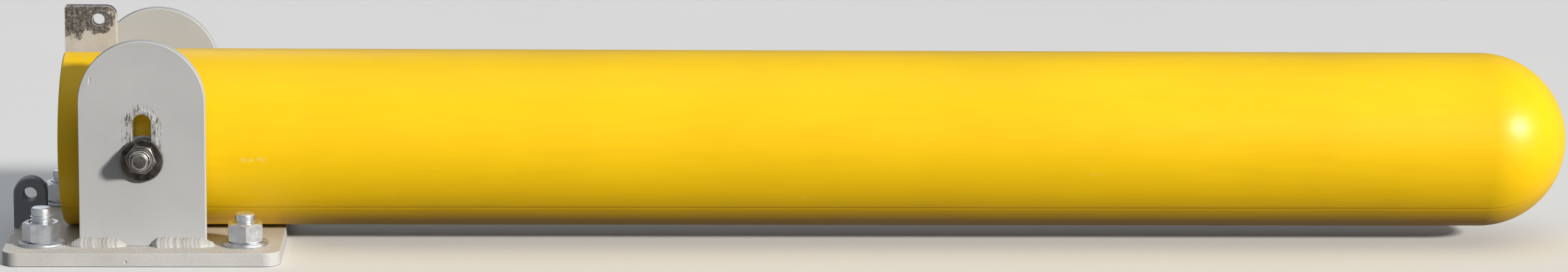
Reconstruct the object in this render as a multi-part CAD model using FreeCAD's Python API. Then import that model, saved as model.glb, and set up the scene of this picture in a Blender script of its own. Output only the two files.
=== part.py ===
import FreeCAD, Part
import math
import os

os.makedirs("parts", exist_ok=True)

V = FreeCAD.Vector
UP = V(0, 0, 1)
ALONG = V(1, 0, 0)
ACROSS = V(0, 1, 0)

# Sizes in mm. Z is up from the underside of the base plate, +X runs along the folded post to its
# dome, and +Y is away from the ear that carries the lock nut.

# how far a cut starts before what it cuts, and how near counts as touching
cut_past = 1.0
touch = 0.01

# base plate and anchors
plate_beyond_post = 33.5
plate_beyond_ear = 24.7
plate_thickness = 9.5
plate_corner = 12.0
plate_edge_chamfer = 0.6
anchor_off_middle = 0.675
anchor_edge_distance = 30.5
anchor_dia = 15.9
anchor_hole_gap = 0.9
anchor_depth = 88.0
anchor_tip_cut = 0.75
anchor_tip_length = 5.0
anchor_tip_chamfer = 1.0
anchor_shoulder_length = 1.0
anchor_foot_cut = 0.6
anchor_foot_band = 2.0
anchor_neck_cut = 2.05
anchor_neck_length = 26.0
anchor_cone_length = 9.0
anchor_clip_slit = 2.0
anchor_clip_recess = 0.7
anchor_clip_play = 0.5
anchor_clip_bore_gap = 0.1
anchor_stand = (27.0, 23.0, 25.0, 25.0)
anchor_washer_dia = 33.3
anchor_washer_thickness = 2.6
anchor_nut_flats = 23.8
anchor_nut_height = 13.9
anchor_nut_chamfer = 0.8
anchor_nut_turns = (32.0, 6.0, 17.0, 44.0)
anchor_washer_gap = 0.6
thread_gap = 0.05
hexagon_cut_slope = 0.6

# post
post_dia = 127.0
post_length = 1092.0
foot_to_pivot = 60.5
sleeve_wall = 6.0
sleeve_foot_round = 2.0
sleeve_gap = 0.35
pipe_wall = 4.8
pipe_end_gap = 5.0
rest_gap = 0.7

# ears and their slots
ear_width = 88.9
ear_thickness = 9.5
ear_height = 146.5
ear_side_gap = 5.3
weld_leg = 7.5
weld_middle_start = -14.0
weld_middle_end = 9.0
slot_side_gap = 0.4
slot_end_gap = 0.4
slot_below = 8.0

# pivot bolt set
bolt_dia = 12.0
bolt_flats = 19.0
bolt_head_height = 7.5
bolt_head_chamfer = 0.8
bolt_nut_height = 9.0
bolt_nut_chamfer = 0.8
bolt_collar_height = 4.5
bolt_collar_wall = 1.8
bolt_insert_height = 2.5
bolt_insert_wall = 0.9
bolt_insert_depth = 0.8
bolt_insert_gap = 0.1
bolt_end = 4.0
bolt_point_length = 1.5
bolt_point_cut = 1.2
bolt_hole_gap = 2.5
sleeve_hole_gap = 4.5
washer_dia = 30.4
washer_hole_gap = 2.4
washer_thickness = 3.0
washer_gap = 0.3
inner_washer_gap = 0.6
washer_hang_gap = 0.1

# padlock tab and lug
tab_length = 37.0
tab_height = 32.0
tab_thickness = 8.0
tab_clip = 7.5
tab_hole_dia = 8.6
tab_hole_height = 22.0
tab_hole_inset = 24.5
tab_weld = 4.0
tab_root = 2.0
tab_setback = 0.5
notch_side_gap = 1.0
notch_end_gap = 1.5
lug_thickness = 12.7
lug_radius = 11.7
lug_hole_dia = 9.8
lug_tab_gap = 1.4
lug_weld = 5.0
lug_weld_setback = 1.0

# small disc on the fixed swing centre, in the gap between the post and the far ear
guide_dia = 5.0
guide_side_gap = 0.8
foot_clearance = 0.5
guide_lift = 3.0

# derived sizes
post_r = post_dia / 2
pipe_r = post_r - sleeve_wall - sleeve_gap
pivot_z = plate_thickness + post_r + rest_gap
foot_x = -foot_to_pivot
dome_x = foot_x + post_length - post_r
ear_inner = post_r + ear_side_gap
ear_outer = ear_inner + ear_thickness
slot_width = bolt_dia + 2 * slot_side_gap
plate_length = post_dia + 2 * plate_beyond_post
plate_width = 2 * (ear_outer + plate_beyond_ear)

# Each anchor stands midway between its ear's edge and the plate's end, moved out a little.
anchor_x = (ear_width / 2 + plate_length / 2) / 2 + anchor_off_middle
anchor_y = plate_width / 2 - anchor_edge_distance

# The post swings on a moving circle: its pivot climbs the slots, then drops as the foot lands.
# centre_z is the fixed centre, rise and run are the pivot's offsets from it folded and upright.
# The moving joint sits at (-run / 2, centre_z + rise / 2) when the post lies folded.
centre_z = plate_thickness + guide_lift
rise = pivot_z - centre_z
run = foot_to_pivot + foot_clearance - guide_lift
pivot_peak = centre_z + math.hypot(rise, run)
upright_z = centre_z + run
slot_top = pivot_peak + slot_end_gap
slot_bottom = min(pivot_z, upright_z) - slot_below

# Upright, the tab's hole stands beside the lug's hole, so the lug takes its place from the tab.
tab_hole_x = foot_x + tab_hole_inset
tab_hole_up = post_r + tab_hole_height
lug_x = -tab_hole_up
lug_z = upright_z + tab_hole_x


def save(name, solids):
    shape = solids[0] if len(solids) == 1 else Part.makeCompound(solids)
    shape.exportStep("parts/" + name + ".step")


def rod(dia, length, base, axis):
    return Part.makeCylinder(dia / 2, length, base, axis)


def box(low, high):
    return Part.makeBox(high.x - low.x, high.y - low.y, high.z - low.z, low)


def prism(points, depth):
    face = Part.Face(Part.makePolygon(points + [points[0]]))
    return face.extrude(depth)


def turned(profile):
    """Solid of revolution about the post's axis, from (x, radius) points."""
    points = [V(x, 0, pivot_z + radius) for x, radius in profile]
    face = Part.Face(Part.makePolygon(points + [points[0]]))
    return face.revolve(V(0, 0, pivot_z), ALONG, 360)


def hexagon(flats, height, base, axis, corner_cut):
    """Hexagonal prism with its outer corners turned off at the far end."""
    radius = flats / math.sqrt(3)
    points = []
    for k in range(6):
        angle = math.radians(60 * k)
        points.append(V(radius * math.cos(angle), radius * math.sin(angle), 0))
    body = prism(points, V(0, 0, height))
    cone = Part.makeCone(radius + height, radius - corner_cut, height + corner_cut * hexagon_cut_slope)
    body = body.common(cone)
    body.Placement = FreeCAD.Placement(base, FreeCAD.Rotation(UP, axis))
    return body


def anchor_places():
    places = []
    for side_y in (-1, 1):
        for side_x in (-1, 1):
            places.append((side_x * anchor_x, side_y * anchor_y))
    return places


def base_plate():
    low = V(-plate_length / 2, -plate_width / 2, 0)
    high = V(plate_length / 2, plate_width / 2, plate_thickness)
    plate = box(low, high)
    corners = [e for e in plate.Edges if abs(e.tangentAt(e.FirstParameter).z) > 0.9]
    plate = plate.makeFillet(plate_corner, corners)
    rims = [e for e in plate.Edges if e.BoundBox.ZMin > plate_thickness - touch]
    plate = plate.makeChamfer(plate_edge_chamfer, rims)
    for x, y in anchor_places():
        hole = rod(anchor_dia + 2 * anchor_hole_gap, plate_thickness, V(x, y, 0), UP)
        plate = plate.cut(hole)
    save("base_plate", [plate])


def ear_blank(y):
    """Flat bar with a half round top, standing on the plate."""
    half = ear_width / 2
    shoulder = plate_thickness + ear_height - half
    low = V(-half, y, plate_thickness)
    body = box(low, V(half, y + ear_thickness, shoulder))
    top = rod(ear_width, ear_thickness, V(0, y, shoulder), ACROSS)
    return body.fuse(top).removeSplitter()


def ear(name, y):
    body = ear_blank(y)
    low = V(-slot_width / 2, y, slot_bottom)
    slot = box(low, V(slot_width / 2, y + ear_thickness, slot_top))
    for z in (slot_bottom, slot_top):
        slot = slot.fuse(rod(slot_width, ear_thickness, V(0, y, z), ACROSS))
    save(name, [body.cut(slot)])


def ear_welds(name, side):
    """Two stitch fillet beads along the outer foot of an ear."""
    face_y = side * ear_outer
    beads = []
    for start, end in ((-ear_width / 2, weld_middle_start), (weld_middle_end, ear_width / 2)):
        points = [
            V(start, face_y, plate_thickness),
            V(start, face_y + side * weld_leg, plate_thickness),
            V(start, face_y, plate_thickness + weld_leg),
        ]
        beads.append(prism(points, V(end - start, 0, 0)))
    save(name, beads)


def lock_lug():
    """Round topped block on the plate with the padlock hole through it."""
    y = -tab_thickness / 2 - lug_tab_gap - lug_thickness
    low = V(lug_x - lug_radius, y, plate_thickness)
    body = box(low, V(lug_x + lug_radius, y + lug_thickness, lug_z))
    body = body.fuse(rod(2 * lug_radius, lug_thickness, V(lug_x, y, lug_z), ACROSS))
    body = body.cut(rod(lug_hole_dia, lug_thickness, V(lug_x, y, lug_z), ACROSS))
    save("lock_lug", [body.removeSplitter()])
    points = [
        V(lug_x - lug_radius + lug_weld_setback, y, plate_thickness),
        V(lug_x - lug_radius + lug_weld_setback, y - lug_weld, plate_thickness),
        V(lug_x - lug_radius + lug_weld_setback, y, plate_thickness + lug_weld),
    ]
    bead = prism(points, V(2 * (lug_radius - lug_weld_setback), 0, 0))
    save("lock_lug_weld", [bead])


def anchor_stud(x, y, stand):
    top = plate_thickness + stand
    full_r = anchor_dia / 2
    tip_r = full_r - anchor_tip_cut
    neck_r = full_r - anchor_neck_cut
    tip_z = top - anchor_tip_length
    neck_top = -anchor_depth + anchor_neck_length + anchor_cone_length
    outline = [
        (0, -anchor_depth),
        (full_r - anchor_foot_cut, -anchor_depth),
        (full_r, -anchor_depth + anchor_foot_cut),
        (full_r, -anchor_depth + anchor_foot_band),
        (neck_r, -anchor_depth + anchor_cone_length),
        (neck_r, neck_top),
        (full_r, neck_top),
        (full_r, tip_z - anchor_shoulder_length),
        (tip_r, tip_z),
        (tip_r, top - anchor_tip_chamfer),
        (tip_r - anchor_tip_chamfer, top),
        (0, top),
    ]
    points = [V(x + radius, y, z) for radius, z in outline]
    face = Part.Face(Part.makePolygon(points + [points[0]]))
    return face.revolve(V(x, y, 0), UP, 360)


def anchor_clip(x, y):
    """Split ring in the neck of a wedge anchor."""
    low_z = -anchor_depth + anchor_cone_length + anchor_clip_play
    length = anchor_neck_length - 2 * anchor_clip_play
    ring = rod(anchor_dia - 2 * anchor_clip_recess, length, V(x, y, low_z), UP)
    bore = anchor_dia - 2 * anchor_neck_cut + 2 * anchor_clip_bore_gap
    ring = ring.cut(rod(bore, length, V(x, y, low_z), UP))
    slit_low = V(x, y - anchor_clip_slit / 2, low_z)
    slit_high = V(x + anchor_dia, y + anchor_clip_slit / 2, low_z + length)
    return ring.cut(box(slit_low, slit_high))


def anchor_washer(x, y):
    base = V(x, y, plate_thickness)
    disc = rod(anchor_washer_dia, anchor_washer_thickness, base, UP)
    return disc.cut(rod(anchor_dia + 2 * anchor_washer_gap, anchor_washer_thickness, base, UP))


def anchor_nut(x, y, turn):
    base = V(x, y, plate_thickness + anchor_washer_thickness)
    nut = hexagon(anchor_nut_flats, anchor_nut_height, base, UP, anchor_nut_chamfer)
    nut = nut.rotate(base, UP, turn)
    return nut.cut(rod(anchor_dia + 2 * thread_gap, anchor_nut_height, base, UP))


def anchors():
    places = anchor_places()
    studs = [anchor_stud(x, y, stand) for (x, y), stand in zip(places, anchor_stand)]
    save("anchor_studs", studs)
    save("anchor_clips", [anchor_clip(x, y) for x, y in places])
    save("anchor_washers", [anchor_washer(x, y) for x, y in places])
    turned_places = zip(places, anchor_nut_turns)
    save("anchor_nuts", [anchor_nut(x, y, turn) for (x, y), turn in turned_places])


def cross_hole(dia):
    return rod(dia, 2 * ear_outer, V(0, -ear_outer, pivot_z), ACROSS)


def post_pipe():
    inner = pipe_r - pipe_wall
    end = dome_x - pipe_end_gap
    pipe = turned([(foot_x, inner), (end, inner), (end, pipe_r), (foot_x, pipe_r)])
    save("post_pipe", [pipe.cut(cross_hole(bolt_dia + 2 * bolt_hole_gap))])


def sleeve_shell():
    """Tube closed by a half round dome, with a small round at the foot."""
    inner = post_r - sleeve_wall
    length = dome_x - foot_x
    foot = V(foot_x, 0, pivot_z)
    centre = V(dome_x, 0, pivot_z)
    outside = rod(post_dia, length, foot, ALONG)
    rim = [e for e in outside.Edges if e.BoundBox.XMax < foot_x + touch]
    outside = outside.makeFillet(sleeve_foot_round, rim)
    outside = outside.fuse(Part.makeSphere(post_r, centre)).removeSplitter()
    hollow = rod(2 * inner, length, foot, ALONG).fuse(Part.makeSphere(inner, centre))
    return outside.cut(hollow)


def post_sleeve():
    notch_half = tab_thickness / 2 + tab_weld + notch_side_gap
    low = V(foot_x - cut_past, -notch_half, pivot_z + pipe_r / 2)
    high = V(foot_x + tab_setback + tab_length + notch_end_gap, notch_half, pivot_z + post_dia)
    sleeve = sleeve_shell().cut(box(low, high))
    save("post_sleeve", [sleeve.cut(cross_hole(bolt_dia + 2 * sleeve_hole_gap))])


def pipe_solid():
    return rod(2 * pipe_r, post_length, V(foot_x - cut_past, 0, pivot_z), ALONG)


def lock_tab():
    y = -tab_thickness / 2
    low = pivot_z + pipe_r - tab_root
    high = pivot_z + post_r + tab_height
    left = foot_x + tab_setback
    right = left + tab_length
    points = [
        V(left, y, low),
        V(right, y, low),
        V(right, y, high - tab_clip),
        V(right - tab_clip, y, high),
        V(left, y, high),
    ]
    tab = prism(points, V(0, tab_thickness, 0)).cut(pipe_solid())
    hole_at = V(tab_hole_x, y, pivot_z + tab_hole_up)
    save("lock_tab", [tab.cut(rod(tab_hole_dia, tab_thickness, hole_at, ACROSS))])


def lock_tab_weld():
    """Fillet bead down both sides of the tab, in the sleeve's notch."""
    left = foot_x + 2 * tab_setback
    beads = []
    for side in (-1, 1):
        y = side * tab_thickness / 2
        outer_y = y + side * tab_weld
        seat = pivot_z + pipe_r
        low = seat - tab_root
        points = [V(left, y, seat + tab_weld), V(left, y, low)]
        points += [V(left, outer_y, low), V(left, outer_y, seat)]
        bead = prism(points, V(tab_length - 2 * tab_setback, 0, 0))
        beads.append(bead.cut(pipe_solid()))
    save("lock_tab_weld", beads)


def washer_at(y):
    """Flat washer hanging on the bolt, because its hole is larger than the bolt."""
    slack = washer_hole_gap - washer_hang_gap
    base = V(0, y, pivot_z - slack)
    disc = rod(washer_dia, washer_thickness, base, ACROSS)
    return disc.cut(rod(bolt_dia + 2 * washer_hole_gap, washer_thickness, base, ACROSS))


def pivot_washers():
    outer_y = ear_outer + washer_gap
    inner_y = post_r + inner_washer_gap
    save("near_outer_washer", [washer_at(-outer_y - washer_thickness)])
    save("far_outer_washer", [washer_at(outer_y)])
    save("near_inner_washer", [washer_at(-inner_y - washer_thickness)])
    save("far_inner_washer", [washer_at(inner_y)])


def pivot_bolt():
    """Hexagon head bolt from the far side, its point out past the lock nut."""
    seat = ear_outer + washer_gap + washer_thickness
    nut_height = bolt_nut_height + bolt_collar_height
    end = -seat - nut_height - bolt_end
    shank_at = V(0, end + bolt_point_length, pivot_z)
    shank = rod(bolt_dia, seat - shank_at.y, shank_at, ACROSS)
    tip_r = bolt_dia / 2 - bolt_point_cut
    point = Part.makeCone(tip_r, bolt_dia / 2, bolt_point_length, V(0, end, pivot_z), ACROSS)
    head = hexagon(bolt_flats, bolt_head_height, V(0, seat, pivot_z), ACROSS, bolt_head_chamfer)
    save("pivot_bolt", [shank.fuse(point).fuse(head).removeSplitter()])


def pivot_nut():
    """Lock nut: hexagon, round collar and the nylon ring held inside the collar."""
    seat = -(ear_outer + washer_gap + washer_thickness)
    outward = V(0, -1, 0)
    base = V(0, seat, pivot_z)
    thread_dia = bolt_dia + 2 * thread_gap
    nut = hexagon(bolt_flats, bolt_nut_height, base, outward, bolt_nut_chamfer)
    collar_at = V(0, seat - bolt_nut_height, pivot_z)
    collar = rod(bolt_dia + 2 * bolt_collar_wall, bolt_collar_height, collar_at, outward)
    nut = nut.fuse(collar)
    nut = nut.cut(rod(thread_dia, bolt_nut_height + bolt_collar_height, base, outward))
    ring_at = collar_at + outward * (bolt_collar_height - bolt_insert_height - bolt_insert_depth)
    ring_dia = bolt_dia + 2 * bolt_insert_wall
    pocket_dia = ring_dia + 2 * bolt_insert_gap
    pocket = rod(pocket_dia, bolt_insert_height + bolt_insert_depth, ring_at, outward)
    save("pivot_nut", [nut.cut(pocket)])
    ring = rod(ring_dia, bolt_insert_height, ring_at, outward)
    save("pivot_nut_insert", [ring.cut(rod(thread_dia, bolt_insert_height, ring_at, outward))])


def swing_guide():
    base = V(0, post_r + guide_side_gap, centre_z)
    thickness = ear_side_gap - 2 * guide_side_gap
    save("swing_guide", [rod(guide_dia, thickness, base, ACROSS)])


base_plate()
ear("near_ear", -ear_outer)
ear("far_ear", ear_inner)
ear_welds("near_ear_welds", -1)
ear_welds("far_ear_welds", 1)
lock_lug()
anchors()
post_pipe()
post_sleeve()
lock_tab()
lock_tab_weld()
pivot_washers()
pivot_bolt()
pivot_nut()
swing_guide()
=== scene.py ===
import math
import random

import bmesh
import bpy
from mathutils import Matrix, Vector


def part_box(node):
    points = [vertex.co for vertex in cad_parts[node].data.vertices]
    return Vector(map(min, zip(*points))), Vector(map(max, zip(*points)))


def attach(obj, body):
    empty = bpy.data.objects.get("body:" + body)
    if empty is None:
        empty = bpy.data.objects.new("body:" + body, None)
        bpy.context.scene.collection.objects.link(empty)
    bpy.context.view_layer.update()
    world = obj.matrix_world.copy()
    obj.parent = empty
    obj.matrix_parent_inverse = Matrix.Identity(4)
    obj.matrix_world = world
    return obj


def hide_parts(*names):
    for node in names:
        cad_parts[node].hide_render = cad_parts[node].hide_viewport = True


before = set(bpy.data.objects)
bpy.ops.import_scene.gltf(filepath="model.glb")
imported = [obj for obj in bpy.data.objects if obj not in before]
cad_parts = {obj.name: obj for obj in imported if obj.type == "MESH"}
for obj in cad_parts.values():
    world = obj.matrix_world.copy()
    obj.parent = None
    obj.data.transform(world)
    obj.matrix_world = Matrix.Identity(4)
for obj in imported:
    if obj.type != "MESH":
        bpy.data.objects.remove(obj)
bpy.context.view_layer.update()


# ---------------------------------------------------------------------------------------------
# Camera, floor and lights
# A long lens looks from the front, a little right of the base and a little down, at a plain pale
# floor. A far light stands on the right like a low sun, and two broad ones fill in from above
# and from behind.
camera_place = Vector((0.26559, -3.07296, 0.65791))
camera_yaw, camera_pitch, camera_roll = 0.06227, 0.18715, 0.01397
forward = Vector((
    math.sin(camera_yaw) * math.cos(camera_pitch),
    math.cos(camera_yaw) * math.cos(camera_pitch),
    -math.sin(camera_pitch),
))
level_right = forward.cross(Vector((0, 0, 1))).normalized()
level_up = level_right.cross(forward)
camera_right = math.cos(camera_roll) * level_right + math.sin(camera_roll) * level_up
camera_up = camera_right.cross(forward)

camera_data = bpy.data.cameras.new("camera")
camera_data.sensor_width = 36.0
camera_data.lens = 98.891
camera = bpy.data.objects.new("camera", camera_data)
turned_axes = Matrix((camera_right, camera_up, -forward)).transposed().to_4x4()
camera.matrix_world = Matrix.Translation(camera_place) @ turned_axes
bpy.context.scene.collection.objects.link(camera)
bpy.context.scene.camera = camera
bpy.context.scene.view_settings.view_transform = "Standard"


def area_light(name, place, aim, width, watts, colour):
    """A square soft light that looks at a point."""
    data = bpy.data.lights.new(name, "AREA")
    data.size = width
    data.energy = watts
    data.color = colour
    light = bpy.data.objects.new(name, data)
    light.location = place
    light.rotation_euler = (Vector(aim) - Vector(place)).to_track_quat("-Z", "Y").to_euler()
    bpy.context.scene.collection.objects.link(light)


area_light(
    "key_light", place=(20.7, -17.55, 10.19), aim=(0.45, 0, 0.08),
    width=2.55, watts=11070, colour=(1.0, 0.965, 0.91),
)
area_light(
    "top_light", place=(0.4, -0.3, 3.6), aim=(0.4, 0, 0),
    width=3.0, watts=14, colour=(0.93, 0.96, 1.0),
)
area_light(
    "back_light", place=(-1.2, 3.6, 2.2), aim=(0.4, 0, 0),
    width=2.4, watts=18, colour=(0.95, 0.97, 1.0),
)

world = bpy.data.worlds.new("world")
world.use_nodes = True
sky = world.node_tree.nodes["Background"].inputs
sky["Color"].default_value = (0.86, 0.92, 1.0, 1)
sky["Strength"].default_value = 0.29
bpy.context.scene.world = world


def put(tree, kind, inputs=None, **settings):
    """Adds a node, sets it, and fills or links its inputs."""
    made = tree.nodes.new(kind)
    for key, value in settings.items():
        setattr(made, key, value)
    for key, value in (inputs or {}).items():
        if isinstance(value, bpy.types.NodeSocket):
            tree.links.new(value, made.inputs[key])
        else:
            made.inputs[key].default_value = value
    return made


def new_material(name):
    made = bpy.data.materials.new(name)
    made.use_nodes = True
    made.node_tree.nodes.clear()
    return made, made.node_tree


def skin(tree, inputs):
    """Ends a material in one Principled shader."""
    shader = put(tree, "ShaderNodeBsdfPrincipled", inputs)
    put(tree, "ShaderNodeOutputMaterial", {"Surface": shader.outputs["BSDF"]})


def object_place(tree):
    return put(tree, "ShaderNodeTexCoord").outputs["Object"]


def noise(tree, place, scale, detail=4.0, rough=0.55):
    inputs = {"Vector": place, "Scale": scale, "Detail": detail, "Roughness": rough}
    return put(tree, "ShaderNodeTexNoise", inputs).outputs["Fac"]


def blend(tree, amount, first, second):
    """Colour that goes from first to second with the amount."""
    colours = {"Fac": amount}
    for key, value in (("Color1", first), ("Color2", second)):
        plain = isinstance(value, tuple)
        colours[key] = (*value, 1.0) if plain else value
    return put(tree, "ShaderNodeMixRGB", colours).outputs["Color"]


# The floor looks pale but throws little light back, so the underside of the post stays dark.
floor_width = 60
floor_drop = 0.0004
floor_bounce = (0.060, 0.034, 0.020)
floor_gleam = (0.46, 0.45, 0.44)
floor_material, floor_tree = new_material("pale_floor")
floor_tone = noise(floor_tree, object_place(floor_tree), scale=3.0)
floor_rays = put(floor_tree, "ShaderNodeLightPath").outputs
floor_lit = blend(floor_tree, floor_rays["Is Glossy Ray"], floor_bounce, floor_gleam)
floor_pale = blend(floor_tree, floor_tone, (0.80, 0.80, 0.79), (0.84, 0.84, 0.83))
skin(floor_tree, {
    "Base Color": blend(floor_tree, floor_rays["Is Camera Ray"], floor_lit, floor_pale),
    "Roughness": 0.9,
})
bpy.ops.object.select_all(action="DESELECT")
bpy.ops.mesh.primitive_plane_add(size=floor_width, location=(0, 0, -floor_drop))
floor = bpy.context.object
floor.name = "floor"
bpy.ops.object.transform_apply(location=True, rotation=True, scale=True)
floor.data.materials.append(floor_material)


# ---------------------------------------------------------------------------------------------
# Base plate
# A flame cut steel plate with round corners and four anchor holes, its edges dressed with a
# grinder. It is painted pale grey with all that is welded to it, and grit has settled on top.
plate_corner = 0.012
plate_edge = 0.0012
anchor_radius = 0.00795
anchor_hole_radius = 0.00885
drill_low, drill_high = -0.01, 0.02
nick_radius = 0.0011
nick_sides = 9


def only(obj):
    """Selects one object, ready for an operator."""
    bpy.ops.object.select_all(action="DESELECT")
    obj.select_set(True)
    bpy.context.view_layer.objects.active = obj


def started(name):
    """Names the primitive just added, and puts its place into its mesh."""
    obj = bpy.context.object
    obj.name = name
    bpy.ops.object.transform_apply(location=True, rotation=True, scale=True)
    return obj


def block(name, low, high):
    bpy.ops.object.select_all(action="DESELECT")
    low, high = Vector(low), Vector(high)
    bpy.ops.mesh.primitive_cube_add(size=1, location=(low + high) / 2, scale=high - low)
    return started(name)


def round_bar(name, radius, low, high, sides=64):
    """A cylinder between two points."""
    bpy.ops.object.select_all(action="DESELECT")
    low, high = Vector(low), Vector(high)
    turn = (high - low).to_track_quat("Z", "Y").to_euler()
    bpy.ops.mesh.primitive_cylinder_add(
        vertices=sides, radius=radius, depth=(high - low).length,
        location=(low + high) / 2, rotation=turn,
    )
    return started(name)


def pick(obj, kind, test):
    """Opens obj for editing with the corners, edges or faces that pass the test selected."""
    only(obj)
    bpy.ops.object.mode_set(mode="EDIT")
    bpy.ops.mesh.select_mode(type=kind)
    bpy.ops.mesh.select_all(action="DESELECT")
    work = bmesh.from_edit_mesh(obj.data)
    for item in {"VERT": work.verts, "EDGE": work.edges, "FACE": work.faces}[kind]:
        if test(item):
            item.select_set(True)
    work.select_flush_mode()
    bmesh.update_edit_mesh(obj.data)


def close_edit():
    bpy.ops.object.mode_set(mode="OBJECT")


def along(edge, axis):
    """True if the edge runs along the axis, 0, 1 or 2."""
    step = edge.verts[1].co - edge.verts[0].co
    return abs(step[axis]) > 0.99 * step.length


def mid(edge):
    return (edge.verts[0].co + edge.verts[1].co) / 2


def round_corners(obj, test, radius, segments):
    """Turns the corners whose edges pass the test into arcs."""
    pick(obj, "EDGE", test)
    bpy.ops.mesh.bevel(offset=radius, segments=segments, affect="EDGES", clamp_overlap=False)
    close_edit()


def weld_doubles(obj, reach):
    pick(obj, "VERT", lambda v: True)
    bpy.ops.mesh.remove_doubles(threshold=reach)
    bpy.ops.mesh.normals_make_consistent(inside=False)
    close_edit()


def apply(obj, change):
    only(obj)
    bpy.ops.object.modifier_apply(modifier=change.name)


def carve(obj, tool, how="DIFFERENCE"):
    """Cuts, joins or trims obj with a closed tool, which is used up."""
    change = obj.modifiers.new("carve", "BOOLEAN")
    change.operation = how
    change.object = tool
    change.solver = "EXACT"
    apply(obj, change)
    bpy.data.objects.remove(tool)


def drill(obj, radius, start, end, sides=64):
    """Cuts a round hole from one point to another."""
    carve(obj, round_bar("drill", radius, start, end, sides))


def dress(obj, width, steps=3, angle=30):
    """Rounds the sharp edges, and shades the flats flat and the rounds smooth."""
    change = obj.modifiers.new("edges", "BEVEL")
    change.width = width
    change.segments = steps
    change.limit_method = "ANGLE"
    change.angle_limit = math.radians(angle)
    apply(obj, change)
    smooth(obj)


def smooth(obj, angle=40):
    only(obj)
    bpy.ops.object.shade_smooth_by_angle(angle=math.radians(angle))
    change = obj.modifiers.new("normals", "WEIGHTED_NORMAL")
    change.keep_sharp = True
    apply(obj, change)


def new_group(name, takes, gives):
    """A group of plain numbers in and out. Returns it and its input sockets."""
    tree = bpy.data.node_groups.new(name, "ShaderNodeTree")
    for label, value in takes.items():
        socket = tree.interface.new_socket(label, in_out="INPUT", socket_type="NodeSocketFloat")
        socket.default_value = value
    for label in gives:
        tree.interface.new_socket(label, in_out="OUTPUT", socket_type="NodeSocketFloat")
    return tree, tree.nodes.new("NodeGroupInput").outputs


def give(tree, **values):
    end = tree.nodes.new("NodeGroupOutput")
    for label, socket in values.items():
        tree.links.new(socket, end.inputs[label])


def use(tree, group, **values):
    """Places a group in a material with its own values."""
    made = tree.nodes.new("ShaderNodeGroup")
    made.node_tree = group
    for label, value in values.items():
        made.inputs[label].default_value = value
    return made.outputs


def spread(tree, value, low, high, to_low=0.0, to_high=1.0):
    """Stretches the range low to high of a value over to_low to to_high, and stops there."""
    inputs = {"Value": value, "From Min": low, "From Max": high}
    inputs.update({"To Min": to_low, "To Max": to_high})
    return put(tree, "ShaderNodeMapRange", inputs).outputs["Result"]


def sums(tree, operation, first, second=0.0, third=0.0):
    made = put(tree, "ShaderNodeMath", operation=operation)
    for socket, value in zip(made.inputs, (first, second, third)):
        if isinstance(value, bpy.types.NodeSocket):
            tree.links.new(value, socket)
        else:
            socket.default_value = value
    return made.outputs[0]


def bump(tree, height, depth, strength=1.0, over=None):
    inputs = {"Height": height, "Distance": depth, "Strength": strength}
    if over is not None:
        inputs["Normal"] = over
    return put(tree, "ShaderNodeBump", inputs).outputs["Normal"]


# worn edges: where a rounded copy of the surface leans away from the real one, broken by noise
edge_wear, takes = new_group("edge_wear", {"Width": 0.001, "Break": 300.0, "Reach": 0.5}, ["Mask"])
lean = put(edge_wear, "ShaderNodeVectorMath", operation="DOT_PRODUCT")
rounded = put(edge_wear, "ShaderNodeBevel", {"Radius": takes["Width"]}, samples=4)
edge_wear.links.new(rounded.outputs["Normal"], lean.inputs[0])
edge_wear.links.new(put(edge_wear, "ShaderNodeNewGeometry").outputs["Normal"], lean.inputs[1])
edge = spread(edge_wear, lean.outputs["Value"], 0.995, 0.90)
patchy = noise(edge_wear, object_place(edge_wear), takes["Break"], 5.0)
limit = sums(edge_wear, "SUBTRACT", 1.0, takes["Reach"])
patchy = sums(edge_wear, "SUBTRACT", patchy, limit)
patchy = spread(edge_wear, patchy, -0.1, 0.12)
give(edge_wear, Mask=sums(edge_wear, "MULTIPLY", edge, patchy))

# grit: lies on what faces up, thicker in some places than in others
grit, takes = new_group("grit", {"Scale": 60.0, "Cover": 0.5}, ["Mask"])
coordinates = put(grit, "ShaderNodeTexCoord").outputs
facing = put(grit, "ShaderNodeSeparateXYZ", {"Vector": coordinates["Normal"]}).outputs["Z"]
coarse = noise(grit, coordinates["Object"], takes["Scale"], 6.0, 0.65)
coarse = sums(grit, "ADD", coarse, sums(grit, "SUBTRACT", takes["Cover"], 0.5))
level = spread(grit, facing, 0.35, 0.95)
patches = spread(grit, coarse, 0.42, 0.68)
give(grit, Mask=sums(grit, "MULTIPLY", level, patches))

# chips: small scattered round-edged spots
chips, takes = new_group("chips", {"Scale": 120.0, "Size": 0.12, "Rare": 0.6}, ["Mask"])
place = object_place(chips)
shake_scale = sums(chips, "MULTIPLY", takes["Scale"], 4.0)
shake = put(chips, "ShaderNodeTexNoise", {"Vector": place, "Scale": shake_scale})
moved = put(chips, "ShaderNodeVectorMath", {"Scale": 0.0012}, operation="SCALE")
chips.links.new(shake.outputs["Color"], moved.inputs[0])
added = put(chips, "ShaderNodeVectorMath", operation="ADD")
chips.links.new(place, added.inputs[0])
chips.links.new(moved.outputs[0], added.inputs[1])
cells = put(chips, "ShaderNodeTexVoronoi", {"Vector": added.outputs[0], "Scale": takes["Scale"]})
spot = sums(chips, "SUBTRACT", takes["Size"], cells.outputs["Distance"])
spot = spread(chips, spot, 0.0, 0.06)
chance = put(chips, "ShaderNodeSeparateColor", {"Color": cells.outputs["Color"]}).outputs["Red"]
chance = sums(chips, "GREATER_THAN", chance, takes["Rare"])
give(chips, Mask=sums(chips, "MULTIPLY", spot, chance))


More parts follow.
